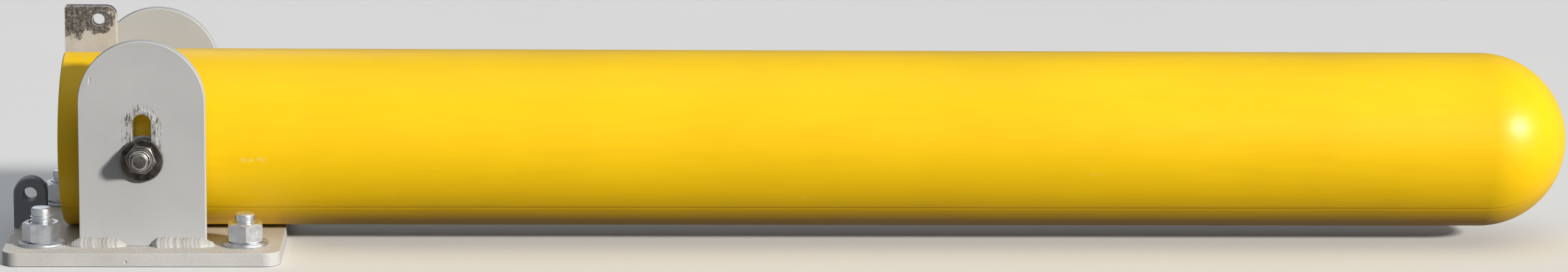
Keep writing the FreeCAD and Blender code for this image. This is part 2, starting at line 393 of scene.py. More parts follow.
def grey_paint(name, light, dark, dust, dust_cover, wear_reach):
    """Paint over steel: uneven tone, worn edges, chips, and grit on top."""
    speck_colour, rubbed_colour = (0.30, 0.29, 0.27), (0.74, 0.73, 0.70)
    chip_colour, sand_colour = (0.10, 0.09, 0.08), (0.24, 0.19, 0.13)
    material, tree = new_material(name)
    place = object_place(tree)
    tone = noise(tree, place, 22.0, 5.0)
    fine = noise(tree, place, 900.0, 3.0)
    colour = blend(tree, spread(tree, tone, 0.3, 0.7), dark, light)
    colour = blend(tree, spread(tree, fine, 0.35, 0.8, 0.0, 0.22), colour, speck_colour)
    worn = use(tree, edge_wear, Width=0.0011, Break=260.0, Reach=wear_reach)["Mask"]
    colour = blend(tree, worn, colour, rubbed_colour)
    spots = use(tree, chips, Scale=95.0, Size=0.13, Rare=0.93)["Mask"]
    colour = blend(tree, spots, colour, chip_colour)
    dusty = use(tree, grit, Scale=70.0, Cover=dust_cover)["Mask"]
    colour = blend(tree, sums(tree, "MULTIPLY", dusty, 0.8), colour, dust)
    grains = spread(tree, noise(tree, place, 850.0, 2.0), 0.50, 0.60)
    grains = sums(tree, "MULTIPLY", grains, dusty)
    colour = blend(tree, sums(tree, "MULTIPLY", grains, 0.7), colour, sand_colour)
    gloss = spread(tree, tone, 0.2, 0.8, 0.42, 0.60)
    gloss = sums(tree, "ADD", gloss, sums(tree, "MULTIPLY", dusty, 0.25))
    pits = bump(tree, sums(tree, "SUBTRACT", fine, spots), 0.00016, 0.55)
    skin(tree, {
        "Base Color": colour,
        "Roughness": gloss,
        "Metallic": sums(tree, "MULTIPLY", worn, 0.25),
        "Normal": bump(tree, tone, 0.0012, 0.25, pits),
    })
    return material


plate_paint = grey_paint(
    "plate_paint", light=(0.64, 0.64, 0.63), dark=(0.54, 0.535, 0.52), dust=(0.70, 0.63, 0.53),
    dust_cover=0.56, wear_reach=0.62,
)
plate_low, plate_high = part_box("base_plate")
plate = block("plate", plate_low, plate_high)
round_corners(plate, lambda e: along(e, 2), plate_corner, 14)

anchor_low, anchor_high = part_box("anchor_studs")
anchor_xs = (anchor_low.x + anchor_radius, anchor_high.x - anchor_radius)
anchor_ys = (anchor_low.y + anchor_radius, anchor_high.y - anchor_radius)
anchor_places = [(x, y) for y in anchor_ys for x in anchor_xs]
for x, y in anchor_places:
    drill(plate, anchor_hole_radius, (x, y, drill_low), (x, y, drill_high))
dress(plate, plate_edge)
nick_start = (-0.0106, plate_low.y - 0.0004, 0.0024)
nick_end = (-0.0098, plate_low.y - 0.0002, 0.0042)
carve(plate, round_bar("nick", nick_radius, nick_start, nick_end, nick_sides))
smooth(plate)
plate.data.materials.append(plate_paint)
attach(plate, "base")
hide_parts("base_plate")


# ---------------------------------------------------------------------------------------------
# Ears
# Two flat bars with round tops, cut from the same steel as the plate and welded upright on it.
# The pivot bolt rides in their slots, and it has scraped the paint off round the near one.
ear_edge = 0.0008
slot_radius = 0.0064
slot_past_ear = 0.01
pivot_height = 0.0737
slot_low_end, slot_high_end = 0.0625, 0.09721
chip_radius = 0.0009
# a full round is bevelled this much short of its radius, so its two arcs don't cross
hair = 0.00001


def apart(tree, value, middle):
    """How far a coordinate is from a middle, either way."""
    return sums(tree, "ABSOLUTE", sums(tree, "SUBTRACT", value, middle))


def slant(tree, first, second):
    """The straight distance that two distances at a right angle make."""
    squares = (sums(tree, "POWER", first, 2.0), sums(tree, "POWER", second, 2.0))
    return sums(tree, "SQRT", sums(tree, "ADD", *squares))


def ear_skin():
    """Grey paint, rubbed to bare steel with dark pits in a ragged band round the slot."""
    material, tree = new_material("ear_paint")
    place = object_place(tree)
    axes = put(tree, "ShaderNodeSeparateXYZ", {"Vector": place}).outputs
    tone = noise(tree, place, 16.0, 5.0)
    fine = noise(tree, place, 1100.0, 3.0)
    colour = blend(tree, spread(tree, tone, 0.3, 0.7), (0.432, 0.440, 0.444), (0.480, 0.488, 0.492))
    colour = blend(tree, spread(tree, fine, 0.3, 0.8, 0.0, 0.12), colour, (0.36, 0.36, 0.36))

    middle = (slot_low_end + slot_high_end) / 2
    half = (slot_high_end - slot_low_end) / 2
    past_end = sums(tree, "SUBTRACT", apart(tree, axes["Z"], middle), half)
    past_end = sums(tree, "MAXIMUM", past_end, 0.0)
    out = slant(tree, axes["X"], past_end)
    streaks = put(tree, "ShaderNodeMapping", {"Vector": place, "Scale": (1.0, 1.0, 0.22)}).outputs["Vector"]
    ragged = noise(tree, streaks, 420.0, 6.0, 0.7)
    ragged_wide = noise(tree, place, 150.0, 3.0)
    reach = sums(tree, "ADD", out, sums(tree, "MULTIPLY", ragged, 0.0075))
    reach = sums(tree, "ADD", reach, sums(tree, "MULTIPLY", ragged_wide, 0.005))
    above = spread(tree, axes["Z"], slot_low_end, pivot_height)
    reach = sums(tree, "ADD", reach, spread(tree, above, 0.0, 1.0, 0.012, 0.0))
    bare = spread(tree, reach, 0.0178, 0.0158)
    mud = noise(tree, streaks, 700.0, 6.0, 0.75)
    dark = sums(tree, "MULTIPLY", spread(tree, reach, 0.0205, 0.0175), spread(tree, mud, 0.52, 0.60))
    steel = blend(tree, spread(tree, mud, 0.35, 0.6), (0.78, 0.77, 0.75), (0.42, 0.40, 0.38))
    colour = blend(tree, bare, colour, steel)
    colour = blend(tree, dark, colour, (0.05, 0.045, 0.04))

    worn = use(tree, edge_wear, Width=0.0010, Break=240.0, Reach=0.66)["Mask"]
    colour = blend(tree, worn, colour, (0.76, 0.75, 0.72))
    spots = use(tree, chips, Scale=80.0, Size=0.12, Rare=0.95)["Mask"]
    colour = blend(tree, spots, colour, (0.13, 0.12, 0.11))
    metal = sums(tree, "MULTIPLY", sums(tree, "SUBTRACT", bare, dark), 0.85)
    gloss = spread(tree, tone, 0.2, 0.8, 0.46, 0.58)
    gloss = sums(tree, "SUBTRACT", gloss, sums(tree, "MULTIPLY", bare, 0.12))
    scraped = bump(tree, sums(tree, "MULTIPLY", mud, sums(tree, "ADD", bare, dark)), 0.0006, 0.7)
    skin(tree, {
        "Base Color": colour,
        "Roughness": gloss,
        "Metallic": spread(tree, metal, 0.0, 1.0),
        "Normal": bump(tree, fine, 0.00010, 0.5, bump(tree, tone, 0.0010, 0.25, scraped)),
    })
    return material


ear_paint = ear_skin()
for ear_node in ("near_ear", "far_ear"):
    low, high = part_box(ear_node)
    half_width = (high.x - low.x) / 2
    ear = block(ear_node + "_bar", low, high)
    round_corners(ear, lambda e: along(e, 1) and mid(e).z > 0.1, half_width - hair, 28)
    weld_doubles(ear, 0.0001)
    slot_tool = block(
        "slot_tool", (-slot_radius, low.y - slot_past_ear, slot_low_end - slot_radius),
        (slot_radius, high.y + slot_past_ear, slot_high_end + slot_radius),
    )
    round_corners(slot_tool, lambda e: along(e, 1), slot_radius - hair, 16)
    weld_doubles(slot_tool, 0.00005)
    carve(ear, slot_tool)
    dress(ear, ear_edge)
    if ear_node == "near_ear":
        chip_start = (-0.0362, low.y - 0.0004, 0.1255)
        chip_end = (-0.0352, low.y - 0.0003, 0.1300)
        carve(ear, round_bar("chip", chip_radius, chip_start, chip_end, nick_sides))
        smooth(ear)
    ear.data.materials.append(ear_paint)
    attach(ear, "base")
    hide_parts(ear_node)


# ---------------------------------------------------------------------------------------------
# Ear welds
# Two stitches of fillet weld along the outer foot of each ear, laid by hand in overlapping
# pools and turned a little way round the ear's corner, then painted over.
stitch_leg, corner_leg = 0.0074, 0.0058
stitch_gap_start, stitch_gap_end = -0.0140, 0.0090
stitch_past_ear = 0.003
corner_from, corner_to = 0.0010, 0.0060
bead_step = 0.0025
bead_voxel = 0.00038
pool_lean = math.radians(44)
pool_shape = (0.46, 0.95, 1.0)
weld_draw = random.Random(11)


def join_all(parts, name):
    """Makes one object of several."""
    only(parts[0])
    for part in parts:
        part.select_set(True)
    bpy.ops.object.join()
    joined = bpy.context.object
    joined.name = name
    return joined


def fuse(obj):
    """Remakes shells that run into each other as one closed skin."""
    change = obj.modifiers.new("fuse", "REMESH")
    change.mode = "VOXEL"
    change.voxel_size = bead_voxel
    apply(obj, change)


def bead(name, start, end, leg, up, out, draw):
    """Overlapping leaning pools along a corner, fused into one rippled bead."""
    start, end = Vector(start), Vector(end)
    up, out = Vector(up), Vector(out)
    way = (end - start).normalized()
    count = max(2, round((end - start).length / bead_step) + 1)
    pools = []
    for k in range(count):
        fade = min(1.0, 0.55 + 0.18 * min(k, count - 1 - k))
        size = leg * fade * draw.uniform(0.94, 1.04)
        at = start + (end - start) * (k / (count - 1))
        at += (up + out) * leg * draw.uniform(0.00, 0.05) + way * draw.uniform(-0.0003, 0.0003)
        bpy.ops.object.select_all(action="DESELECT")
        bpy.ops.mesh.primitive_uv_sphere_add(segments=24, ring_count=12, radius=size)
        pool = bpy.context.object
        rise = (up + out).normalized()
        lean = Matrix.Rotation(pool_lean, 3, way.cross(rise))
        axes = Matrix((way, rise, way.cross(rise))).transposed()
        flat = Matrix.Diagonal(pool_shape)
        shape = (lean @ axes @ flat).to_4x4()
        pool.data.transform(Matrix.Translation(at) @ shape)
        pools.append(pool)
    fused = join_all(pools, name)
    weld_doubles(fused, 0.000001)
    fuse(fused)
    change = fused.modifiers.new("melt", "SMOOTH")
    change.factor = 0.5
    change.iterations = 3
    apply(fused, change)
    only(fused)
    bpy.ops.object.shade_smooth()
    return fused


weld_paint = grey_paint(
    "weld_paint", light=(0.50, 0.50, 0.49), dark=(0.41, 0.405, 0.39), dust=(0.50, 0.45, 0.38),
    dust_cover=0.46, wear_reach=0.30,
)
plate_top = plate_high.z
for side, node in ((-1, "near_ear_welds"), (1, "far_ear_welds")):
    low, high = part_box(node)
    face_y = high.y if side < 0 else low.y
    spans = ((low.x - stitch_past_ear, stitch_gap_start), (stitch_gap_end, high.x + stitch_past_ear))
    beads = []
    for number, (start_x, end_x) in enumerate(spans):
        start, end = (start_x, face_y, plate_top), (end_x, face_y, plate_top)
        name = node + str(number)
        beads.append(bead(name, start, end, stitch_leg, (0, 0, 1), (0, side, 0), weld_draw))
    for corner_x, outward in ((low.x, -1), (high.x, 1)):
        start = (corner_x, face_y - side * corner_from, plate_top)
        end = (corner_x, face_y - side * corner_to, plate_top)
        name = node + ("_left" if outward < 0 else "_right")
        beads.append(bead(name, start, end, corner_leg, (0, 0, 1), (outward, 0, 0), weld_draw))
    joined = join_all(beads, node.replace("_welds", "_beads"))
    fuse(joined)
    bpy.ops.object.shade_smooth()
    joined.data.materials.append(weld_paint)
    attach(joined, "base")
    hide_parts(node)


# ---------------------------------------------------------------------------------------------
# Lock lug
# A thick steel block with a round top and one hole, welded to the plate behind the post's foot.
# A padlock goes through it and the post's tab when the post stands up.
lug_hole_radius = 0.0049
lug_edge = 0.0009
lug_weld_leg, lug_weld_setback = 0.0050, 0.005
# The lug's dark bluish grey is partly its own darker paint and partly painted shade, standing for the shade
# of the post and ear that it sits in.
lug_paint = grey_paint(
    "lug_paint", light=(0.27, 0.28, 0.31), dark=(0.17, 0.18, 0.20), dust=(0.32, 0.31, 0.30),
    dust_cover=0.40, wear_reach=0.55,
)
lug_low, lug_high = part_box("lock_lug")
lug_radius = (lug_high.x - lug_low.x) / 2
lug_x = (lug_low.x + lug_high.x) / 2
lug_hole_z = lug_high.z - lug_radius
lug = block("lug", lug_low, lug_high)
round_corners(lug, lambda e: along(e, 1) and mid(e).z > 0.03, lug_radius - hair, 18)
weld_doubles(lug, 0.0001)
drill(lug, lug_hole_radius, (lug_x, -0.04, lug_hole_z), (lug_x, 0.04, lug_hole_z), 48)
dress(lug, lug_edge)
lug.data.materials.append(lug_paint)
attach(lug, "base")
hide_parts("lock_lug")

low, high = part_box("lock_lug_weld")
start = (low.x + lug_weld_setback, high.y, low.z)
end = (high.x - lug_weld_setback, high.y, low.z)
lug_bead = bead("lug_bead", start, end, lug_weld_leg, (0, 0, 1), (0, -1, 0), weld_draw)
lug_bead.data.materials.append(weld_paint)
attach(lug_bead, "base")
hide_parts("lock_lug_weld")


# ---------------------------------------------------------------------------------------------
# Anchors
# Four zinc plated wedge anchors hold the plate to the ground. Each has a plain tip, a rolled
# thread under it, a hexagon nut and a thick pressed washer; a split clip grips the hole below.
anchor_pitch = 0.0023
tip_radius, tip_length = 0.0072, 0.0050
tip_undercut = 0.0008
neck_radius, neck_foot, neck_top = 0.0059, 0.0090, 0.0350
shortest_thread, thread_in_nut = 0.0032, 0.003
washer_radius, washer_play = 0.01665, 0.0006
anchor_nut_flats, anchor_nut_edge = 0.0238, 0.00030
mouth_depth, mouth_flare = 0.0012, 0.0013
thread_fit = 0.00005
washer_low, washer_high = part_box("anchor_washers")
nut_low, nut_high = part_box("anchor_nuts")
# how far each anchor stands above the plate, and how far its nut is turned, in degrees
anchor_stands = (0.0270, 0.0230, 0.0250, 0.0250)
nut_turns = (32.0, 6.0, 17.0, 44.0)


def outline(name, points):
    """A chain of corners from one merged plane, one extrusion for each next point (across, up)."""
    bpy.ops.object.select_all(action="DESELECT")
    bpy.ops.mesh.primitive_plane_add(size=0.001)
    obj = started(name)
    pick(obj, "VERT", lambda v: True)
    bpy.ops.mesh.merge(type="CENTER")
    bpy.ops.transform.translate(value=(points[0][0], 0, points[0][1]))
    for (across, height), (last_across, last_height) in zip(points[1:], points):
        step = (across - last_across, 0, height - last_height)
        bpy.ops.mesh.extrude_vertices_move(TRANSFORM_OT_translate={"value": step})
    close_edit()
    return obj


def order_faces(obj):
    """Lists the faces in one fixed order, because spin lists them in another one each time."""
    corners = [vertex.co.copy() for vertex in obj.data.vertices]
    faces = []
    for face in obj.data.polygons:
        ring = list(face.vertices)
        first = ring.index(min(ring))
        faces.append(ring[first:] + ring[:first])
    obj.data.clear_geometry()
    obj.data.from_pydata(corners, [], sorted(faces))


def lathe(name, points, steps=64):
    """Turns an outline of (radius, height) points about the upright axis."""
    obj = outline(name, points)
    pick(obj, "VERT", lambda v: True)
    bpy.ops.mesh.spin(steps=steps, angle=2 * math.pi, center=(0, 0, 0), axis=(0, 0, 1))
    close_edit()
    weld_doubles(obj, 0.000002)
    order_faces(obj)
    return obj


def stand_on(obj, place, axis=(0, 0, 1), turn=0.0):
    """Turns a piece made on the upright axis onto another axis, and moves its foot there."""
    spun = Matrix.Rotation(turn, 4, "Z")
    aimed = Vector(axis).to_track_quat("Z", "Y").to_matrix().to_4x4()
    obj.matrix_world = Matrix.Translation(Vector(place)) @ aimed @ spun
    only(obj)
    bpy.ops.object.transform_apply(location=True, rotation=True, scale=True)


def thread(name, crest, pitch, length):
    """A rolled thread, cut square at both ends."""
    root = crest - pitch * 0.55
    obj = outline(name, [
        (root, 0.0), (root, pitch * 0.12), (crest, pitch * 0.44),
        (crest, pitch * 0.56), (root, pitch * 0.88), (root, pitch),
    ])
    change = obj.modifiers.new("turns", "SCREW")
    change.steps = change.render_steps = 40
    change.screw_offset = pitch
    change.iterations = math.ceil(length / pitch) + 3
    apply(obj, change)
    weld_doubles(obj, 0.000002)
    for height, clear in ((2 * pitch, "clear_inner"), (2 * pitch + length, "clear_outer")):
        pick(obj, "VERT", lambda v: True)
        bpy.ops.mesh.bisect(
            plane_co=(0, 0, height), plane_no=(0, 0, 1), use_fill=True, **{clear: True})
        close_edit()
    weld_doubles(obj, 0.000001)
    stand_on(obj, (0, 0, -2 * pitch))
    return obj


def hexagon(name, flats, height, bevel_low, bevel_high):
    """A hexagon bar end, its corners turned off by a cone at one or both ends."""
    bpy.ops.object.select_all(action="DESELECT")
    corner = flats / math.sqrt(3)
    bpy.ops.mesh.primitive_cylinder_add(
        vertices=6, radius=corner, depth=height, location=(0, 0, height / 2))
    obj = started(name)
    flat_face = flats / 2 * 0.985
    reach = corner - flat_face
    rise = reach * math.tan(math.radians(30))
    clear = corner + 0.001
    low_radius, low_rise = (flat_face, rise * 2.0) if bevel_low else (clear, 0.0001)
    high_radius, high_rise = (flat_face, rise * 2.0) if bevel_high else (clear, 0.0001)
    turning = lathe("turning", [
        (0, 0), (low_radius, 0), (clear, low_rise),
        (clear, height - high_rise), (high_radius, height), (0, height),
    ], 96)
    carve(obj, turning, "INTERSECT")
    return obj


def zinc_skin(name, light, dark, rough_low, rough_high, stain):
    """Zinc plate: faint crystals, a soft sheen that varies, rubbed edges and stains."""
    stain_colour, rubbed_colour = (0.30, 0.27, 0.22), (0.92, 0.92, 0.93)
    material, tree = new_material(name)
    place = object_place(tree)
    tone = noise(tree, place, 160.0, 5.0)
    crystals = put(tree, "ShaderNodeTexVoronoi", {"Vector": place, "Scale": 900.0})
    crystal = put(tree, "ShaderNodeSeparateColor", {"Color": crystals.outputs["Color"]})
    fine = noise(tree, place, 2600.0, 3.0)
    colour = blend(tree, spread(tree, tone, 0.3, 0.7), dark, light)
    crystal = sums(tree, "MULTIPLY", crystal.outputs["Green"], 0.16)
    colour = blend(tree, crystal, colour, dark)
    dirt = use(tree, grit, Scale=240.0, Cover=stain)["Mask"]
    colour = blend(tree, sums(tree, "MULTIPLY", dirt, 0.5), colour, stain_colour)
    worn = use(tree, edge_wear, Width=0.0006, Break=500.0, Reach=0.62)["Mask"]
    colour = blend(tree, worn, colour, rubbed_colour)
    gloss = spread(tree, tone, 0.25, 0.75, rough_low, rough_high)
    gloss = sums(tree, "ADD", gloss, sums(tree, "MULTIPLY", dirt, 0.25))
    skin(tree, {
        "Base Color": colour,
        "Roughness": gloss,
        "Metallic": spread(tree, dirt, 0.0, 1.0, 0.92, 0.35),
        "Normal": bump(tree, fine, 0.00006, 0.5, bump(tree, tone, 0.0004, 0.3)),
    })
    return material


zinc = zinc_skin(
    "bright_zinc", light=(0.80, 0.82, 0.85), dark=(0.62, 0.65, 0.69),
    rough_low=0.26, rough_high=0.42, stain=0.30,
)
zinc_dull = zinc_skin(
    "dull_zinc", light=(0.66, 0.67, 0.69), dark=(0.46, 0.48, 0.51),
    rough_low=0.38, rough_high=0.56, stain=0.42,
)

washer_height = washer_high.z - washer_low.z
nut_height = nut_high.z - nut_low.z
anchor_depth = anchor_low.z
for number, (x, y) in enumerate(anchor_places):
    top = plate_top + anchor_stands[number]
    thread_top = top - tip_length - 0.0008
    thread_foot = plate_top + washer_height + nut_height - thread_in_nut
    thread_run = max(thread_top - thread_foot, shortest_thread)
    tip_root = tip_radius - tip_undercut
    stud = lathe("anchor_stud_%d" % number, [
        (0, anchor_depth), (anchor_radius - 0.0006, anchor_depth),
        (anchor_radius, anchor_depth + 0.0006), (anchor_radius, anchor_depth + 0.002),
        (neck_radius, anchor_depth + neck_foot), (neck_radius, anchor_depth + neck_top),
        (anchor_radius, anchor_depth + neck_top), (anchor_radius, thread_foot),
        (tip_root, thread_foot + 0.0008), (tip_root, thread_top - 0.0004),
        (tip_radius, thread_top + 0.0006), (tip_radius, top - 0.0015),
        (tip_radius - 0.0003, top - 0.0008), (tip_radius - 0.0010, top - 0.0002),
        (tip_radius - 0.0018, top), (0, top),
    ], 56)
    stand_on(stud, (x, y, 0))
    turns = thread("turns", anchor_radius, anchor_pitch, thread_run)
    stand_on(turns, (x, y, thread_top - thread_run), turn=number * 1.3)
    carve(stud, turns, "UNION")
    smooth(stud, 35)
    stud.data.materials.append(zinc)
    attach(stud, "base")
    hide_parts("anchor_studs")

    hole = anchor_radius + washer_play
    washer = lathe("anchor_washer_%d" % number, [
        (hole, 0), (washer_radius - 0.0004, 0),
        (washer_radius, 0.0005), (washer_radius, washer_height - 0.0010),
        (washer_radius - 0.0003, washer_height - 0.0004), (washer_radius - 0.0010, washer_height),
        (hole + 0.0004, washer_height), (hole, washer_height - 0.0004), (hole, 0),
    ], 72)
    stand_on(washer, (x, y, washer_low.z))
    smooth(washer, 50)
    washer.data.materials.append(zinc_dull)
    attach(washer, "base")
    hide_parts("anchor_washers")

    nut = hexagon("anchor_nut_%d" % number, anchor_nut_flats, nut_height, True, True)
    drill(nut, anchor_radius + thread_fit, (0, 0, -0.01), (0, 0, 0.03))
    mouth = lathe("mouth", [
        (0, nut_height - mouth_depth), (anchor_radius, nut_height - mouth_depth),
        (anchor_radius + mouth_flare, nut_height + 0.0001), (0, nut_height + 0.0001),
    ])
    carve(nut, mouth)
    stand_on(nut, (x, y, nut_low.z), turn=math.radians(nut_turns[number]))
    dress(nut, anchor_nut_edge, 2, 25)
    nut.data.materials.append(zinc)
    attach(nut, "base")
    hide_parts("anchor_nuts")

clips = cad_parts["anchor_clips"]
clips.material_slots[0].material = zinc_dull


# ---------------------------------------------------------------------------------------------
# Post tube
# A length of steel tube in grey primer, cross drilled for the pivot bolt. The yellow sleeve
# hides all of it but the end at the foot, where the tab is welded on.
pipe_primer = grey_paint(
    "pipe_primer", light=(0.44, 0.44, 0.43), dark=(0.34, 0.34, 0.33), dust=(0.40, 0.36, 0.30),
    dust_cover=0.45, wear_reach=0.45,
)
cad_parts["post_pipe"].material_slots[0].material = pipe_primer


# ---------------------------------------------------------------------------------------------
# Sleeve
# A thick tube of safety yellow polyethylene with a domed end, moulded in one piece and pushed
# over the steel tube. The mould's two halves left a thin line down each side and over the dome.
sleeve_low, sleeve_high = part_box("post_sleeve")
sleeve_radius = 0.0635
sleeve_wall = 0.006
sleeve_foot = sleeve_low.x
dome_centre = sleeve_high.x - sleeve_radius
seam_below_level = math.radians(42.4)
seam_half, seam_rise = 0.0007, 0.00028
foot_round = 0.002
notch_half, notch_length, notch_corner = 0.009, 0.039, 0.004
sleeve_bolt_hole = 0.0105
rub_x, rub_z = 0.076, 0.0690


def yellow_skin():
    """Satin yellow plastic: flow clouds, pebble, scuffs, painted shade on the half below the mould line,
    and dust on top.
    """
    flow_colour, scuff_colour = (0.80, 0.44, 0.004), (0.95, 0.80, 0.42)
    dust_colour = (0.62, 0.50, 0.26)
    shade_below_line_colour, line_colour = (0.60, 0.33, 0.002), (0.55, 0.30, 0.002)
    material, tree = new_material("sleeve_yellow")
    place = object_place(tree)
    clouds = noise(tree, place, 9.0, 4.0)
    streaks = put(tree, "ShaderNodeMapping", {"Vector": place, "Scale": (0.12, 1.0, 1.0)})
    drawn = noise(tree, streaks.outputs["Vector"], 130.0, 4.0)
    pebble = noise(tree, place, 1500.0, 3.0)
    colour = blend(tree, spread(tree, clouds, 0.3, 0.7), (0.89, 0.555, 0.003), (0.96, 0.61, 0.004))
    colour = blend(tree, spread(tree, drawn, 0.45, 0.75, 0.0, 0.18), colour, flow_colour)

    drawn_out = put(tree, "ShaderNodeMapping", {"Vector": place, "Scale": (0.16, 1.0, 1.0)})
    scratches = spread(tree, noise(tree, drawn_out.outputs["Vector"], 420.0, 6.0, 0.7), 0.66, 0.72)
    scuff = sums(tree, "MULTIPLY", scratches, spread(tree, noise(tree, place, 14.0, 2.0), 0.55, 0.68))
    colour = blend(tree, sums(tree, "MULTIPLY", scuff, 0.55), colour, scuff_colour)
    dusty = use(tree, grit, Scale=90.0, Cover=0.30)["Mask"]
    colour = blend(tree, sums(tree, "MULTIPLY", dusty, 0.22), colour, dust_colour)

    axes = put(tree, "ShaderNodeSeparateXYZ", {"Vector": place}).outputs
    across = sums(tree, "MULTIPLY", axes["Y"], -math.sin(seam_below_level))
    above = sums(tree, "SUBTRACT", axes["Z"], pivot_height)
    above = sums(tree, "MULTIPLY", above, math.cos(seam_below_level))
    past_line = sums(tree, "ADD", across, above)
    # painted shade: the half of the sleeve below the mould line is coloured a little darker
    painted_shade_below_line = spread(tree, past_line, 0.0004, -0.0004, 0.0, 0.16)
    colour = blend(tree, painted_shade_below_line, colour, shade_below_line_colour)
    line = spread(tree, sums(tree, "ABSOLUTE", past_line), 0.0009, 0.0003, 0.0, 0.45)
    colour = blend(tree, line, colour, line_colour)

    along_rub = spread(tree, apart(tree, axes["X"], rub_x), 0.012, 0.005)
    up_rub = spread(tree, apart(tree, axes["Z"], rub_z), 0.0026, 0.0006)
    rubbed = sums(tree, "MULTIPLY", along_rub, up_rub)
    rubbed = sums(tree, "MULTIPLY", rubbed, spread(tree, axes["Y"], 0.0, -0.01))
    broken = spread(tree, noise(tree, place, 210.0, 5.0, 0.65), 0.47, 0.60)
    rubbed = sums(tree, "MULTIPLY", rubbed, broken)
    colour = blend(tree, sums(tree, "MULTIPLY", rubbed, 0.32), colour, scuff_colour)
    gloss = spread(tree, clouds, 0.3, 0.7, 0.34, 0.42)
    gloss = sums(tree, "ADD", gloss, sums(tree, "MULTIPLY", scuff, 0.25))
    skin(tree, {
        "Base Color": colour,
        "Roughness": sums(tree, "ADD", gloss, sums(tree, "MULTIPLY", dusty, 0.12)),
        "Normal": bump(tree, pebble, 0.00007, 0.5, bump(tree, drawn, 0.0005, 0.22)),
        "Specular IOR Level": 0.32,
    })
    return material


inner_radius = sleeve_radius - sleeve_wall
tube_length = dome_centre - sleeve_foot
foot_arcs, rings, arcs = 4, 48, 36
profile = [(inner_radius, 0.0), (sleeve_radius - foot_round, 0.0)]
for k in range(1, foot_arcs + 1):
    swing = math.pi / 2 * k / foot_arcs
    inset = foot_round * (1 - math.sin(swing))
    profile.append((sleeve_radius - inset, foot_round * (1 - math.cos(swing))))
for k in range(1, rings + 1):
    profile.append((sleeve_radius, foot_round + (tube_length - foot_round) * k / rings))
for k in range(1, arcs + 1):
    swing = math.pi / 2 * k / arcs
    profile.append((sleeve_radius * math.cos(swing), tube_length + sleeve_radius * math.sin(swing)))
for k in range(arcs, -1, -3):
    swing = math.pi / 2 * k / arcs
    profile.append((inner_radius * math.cos(swing), tube_length + inner_radius * math.sin(swing)))
profile.append((inner_radius, 0.0))
sleeve = lathe("sleeve", profile, 144)


def on_seam(edge):
    """True for an outer edge that lies along one of the two mould lines, short of the pole."""
    middle = mid(edge)
    around = math.atan2(middle.y, middle.x)
    reach = math.hypot(middle.x, middle.y)
    near_line = min(abs(around), abs(abs(around) - math.pi)) < 0.01
    outer = reach > inner_radius + 0.003 if middle.z < tube_length else True
    from_centre = math.hypot(reach, middle.z - tube_length)
    outer = outer and (middle.z < tube_length or from_centre > inner_radius + 0.003)
    rises = abs(edge.verts[0].co.z - edge.verts[1].co.z) > 1e-6
    return near_line and outer and rises and reach > 0.008 and middle.z > foot_round


round_corners(sleeve, on_seam, seam_half, 2)


def on_ridge(vertex):
    """True for the middle row of the narrow strip that the bevel left on a mould line."""
    if abs(vertex.co.y) > 0.00002 or vertex.co.z < foot_round + 0.001:
        return False
    reach = abs(vertex.co.x)
    from_centre = math.hypot(reach, max(vertex.co.z - tube_length, 0.0))
    return reach > 0.009 and from_centre > inner_radius + 0.003


pick(sleeve, "VERT", on_ridge)
bpy.ops.transform.shrink_fatten(value=-seam_rise)
close_edit()

laid_down = Matrix.Rotation(math.radians(90), 4, "Y")
rolled = Matrix.Rotation(seam_below_level - math.radians(90), 4, "Z")
sleeve.matrix_world = Matrix.Translation((sleeve_foot, 0, pivot_height)) @ laid_down @ rolled
only(sleeve)
bpy.ops.object.transform_apply(location=True, rotation=True, scale=True)

notch = block(
    "notch", (sleeve_foot - 0.01, -notch_half, 0.10), (sleeve_foot + notch_length, notch_half, 0.20))
round_corners(notch, lambda e: along(e, 2) and mid(e).x > sleeve_foot, notch_corner, 6)
carve(sleeve, notch)
drill(sleeve, sleeve_bolt_hole, (0, -0.09, pivot_height), (0, 0.09, pivot_height))
smooth(sleeve, 35)
sleeve_yellow = yellow_skin()
sleeve.data.materials.append(sleeve_yellow)
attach(sleeve, "post")
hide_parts("post_sleeve")


# ---------------------------------------------------------------------------------------------
# Lock tab
# A steel tab with a padlock hole, welded to the tube's end through a notch in the sleeve. Its
# paint is burnt and knocked off round the hole and the free corner.
tab_low, tab_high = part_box("lock_tab")
tab_hole_x, tab_hole_z = -0.0360, 0.1592
tab_hole_radius = 0.0043
tab_free_corner, tab_foot_corner = 0.0075, 0.0022
tab_edge = 0.0006
pipe_radius = 0.05715
tab_weld_leg, tab_weld_height = 0.0038, 0.1306


